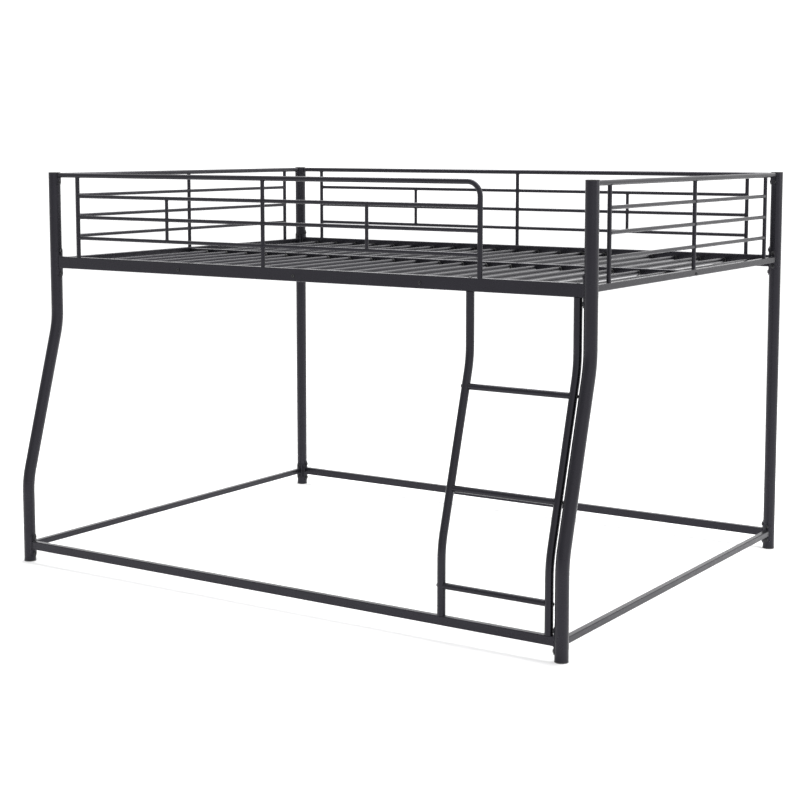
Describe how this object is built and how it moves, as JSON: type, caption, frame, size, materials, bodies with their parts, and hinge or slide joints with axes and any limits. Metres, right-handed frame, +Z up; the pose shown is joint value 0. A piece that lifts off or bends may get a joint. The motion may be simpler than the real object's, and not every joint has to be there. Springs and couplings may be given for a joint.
{
  "type": "bunk bed with ladder",
  "caption": "Low tubular metal bunk bed with a wider floor-level lower frame, stepped front posts, a slat deck, guardrails on all sides and a leaning front ladder.",
  "frame": {"origin": "middle of the footprint on the floor, under the four post feet", "axes": "+X along the bed toward the ladder end, -Y is the front with the ladder, +Z up"},
  "size_m": [2.088, 1.5979, 1.322],
  "materials": {
    "black_powder_coat": "semi-gloss black powder coat on steel tube",
    "black_plastic": "moulded black plastic",
    "black_bolt_steel": "black oxide steel",
    "zinc_steel": "zinc plated steel"
  },
  "bodies": {
    "root": {"front_left_post": "black_powder_coat", "front_right_post": "black_powder_coat", "back_left_post": "black_powder_coat", "back_right_post": "black_powder_coat", "post_top_caps": "black_plastic", "post_foot_caps": "black_plastic", "upper_front_rail": "black_powder_coat", "upper_back_rail": "black_powder_coat", "upper_left_rail": "black_powder_coat", "upper_right_rail": "black_powder_coat", "lower_front_rail": "black_powder_coat", "lower_back_rail": "black_powder_coat", "lower_left_rail": "black_powder_coat", "lower_right_rail": "black_powder_coat", "centre_beam": "black_powder_coat", "front_slats": "black_powder_coat", "back_slats": "black_powder_coat", "front_cross_slats": "black_powder_coat", "back_cross_slats": "black_powder_coat", "front_slat_caps": "black_plastic", "back_slat_caps": "black_plastic", "front_guardrail": "black_powder_coat", "back_guardrail": "black_powder_coat", "left_guardrail": "black_powder_coat", "right_guardrail": "black_powder_coat", "ladder_left_stile": "black_powder_coat", "ladder_right_stile": "black_powder_coat", "ladder_lower_rung": "black_powder_coat", "ladder_middle_rung": "black_powder_coat", "ladder_upper_rung": "black_powder_coat", "upper_side_rail_bolts": "black_bolt_steel", "upper_end_rail_bolts": "black_bolt_steel", "lower_side_rail_bolts": "black_bolt_steel", "lower_end_rail_bolts": "black_bolt_steel", "post_insert_nuts": "zinc_steel", "guardrail_ear_screws": "black_bolt_steel", "ear_insert_nuts": "zinc_steel", "guardrail_foot_screws": "black_bolt_steel", "guardrail_foot_nuts": "zinc_steel", "rung_screws": "black_bolt_steel", "rung_nuts": "zinc_steel", "ladder_bolts": "black_bolt_steel", "ladder_nuts": "zinc_steel", "cross_slat_screws": "black_bolt_steel", "cross_slat_nuts": "zinc_steel", "beam_studs": "black_bolt_steel", "beam_bolts": "black_bolt_steel", "beam_nuts": "zinc_steel"}
  },
  "joints": []
}
